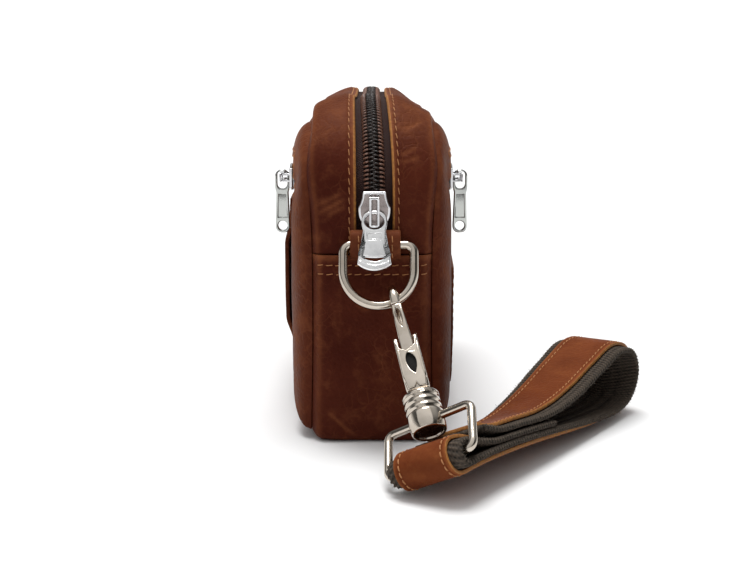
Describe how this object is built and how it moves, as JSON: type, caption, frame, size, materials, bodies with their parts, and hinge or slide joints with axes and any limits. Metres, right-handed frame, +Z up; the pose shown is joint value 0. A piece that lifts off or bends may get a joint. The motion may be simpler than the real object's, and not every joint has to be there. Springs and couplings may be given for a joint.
{
  "type": "belt bag",
  "caption": "Upright leather belt bag with a zip over the top, zipped side pockets, a belt loop, an end ring and a clipped wrist strap.",
  "frame": {"origin": "centre of the flat underside of the bag", "axes": "+X out of the front panel across the thickness, +Y along the length away from the zip pull's end, +Z up"},
  "size_m": [0.1368, 0.2239, 0.1201],
  "materials": {
    "dark_leather": "waxed pull-up, reddish brown",
    "tan_leather": "waxed pull-up, rust brown",
    "zip_tape": "woven, dark brown",
    "bright_chrome": "polished",
    "warm_nickel": "polished nickel plate",
    "webbing": "ribbed weave, charcoal olive"
  },
  "bodies": {
    "bag": {"zip_gusset_left": "dark_leather", "zip_gusset_right": "dark_leather", "base_gusset": "dark_leather", "back_panel": "dark_leather", "front_panel": "dark_leather", "belt_loop": "dark_leather", "slip_pocket": "dark_leather", "ring_tab": "dark_leather", "main_zip_tape": "zip_tape", "main_slider": "bright_chrome", "back_zip_tape": "zip_tape", "back_slider": "bright_chrome", "front_zip_tape": "zip_tape", "front_slider": "bright_chrome", "d_ring": "warm_nickel", "swivel_barrel": "warm_nickel", "strap_loop": "warm_nickel", "strap_webbing": "webbing", "strap_strip": "tan_leather"},
    "zip_pull": {"main_pull": "bright_chrome"},
    "left_pull": {"back_pull": "bright_chrome"},
    "right_pull": {"front_pull": "bright_chrome"},
    "hook": {"hook_body": "warm_nickel"},
    "gate": {"hook_gate": "warm_nickel"}
  },
  "joints": [
    {"name": "zip_pull_swing", "type": "hinge", "parent": "bag", "child": "zip_pull", "pos_m": [0.0008, -0.0842, 0.08115], "axis": [-1, 0, 0], "range_deg": [0, 110]},
    {"name": "left_pull_swing", "type": "hinge", "parent": "bag", "child": "left_pull", "pos_m": [-0.03256, -0.0495, 0.0904], "axis": [0, 1, 0], "range_deg": [-3, 95]},
    {"name": "right_pull_swing", "type": "hinge", "parent": "bag", "child": "right_pull", "pos_m": [0.03176, -0.0495, 0.0904], "axis": [0, -1, 0], "range_deg": [-3, 95]},
    {"name": "hook_swivel", "type": "hinge", "parent": "bag", "child": "hook", "pos_m": [0.01559, -0.1161, 0.02639], "axis": [0.205, -0.6971, -0.6871], "range_deg": [-10, 10]},
    {"name": "gate_hinge", "type": "hinge", "parent": "hook", "child": "gate", "pos_m": [0.01249, -0.10904, 0.03723], "axis": [-0.9664, -0.0329, -0.255], "range_deg": [0, 18], "stiffness_Nm_per_rad": 0.02, "springref_deg": -11.46}
  ]
}
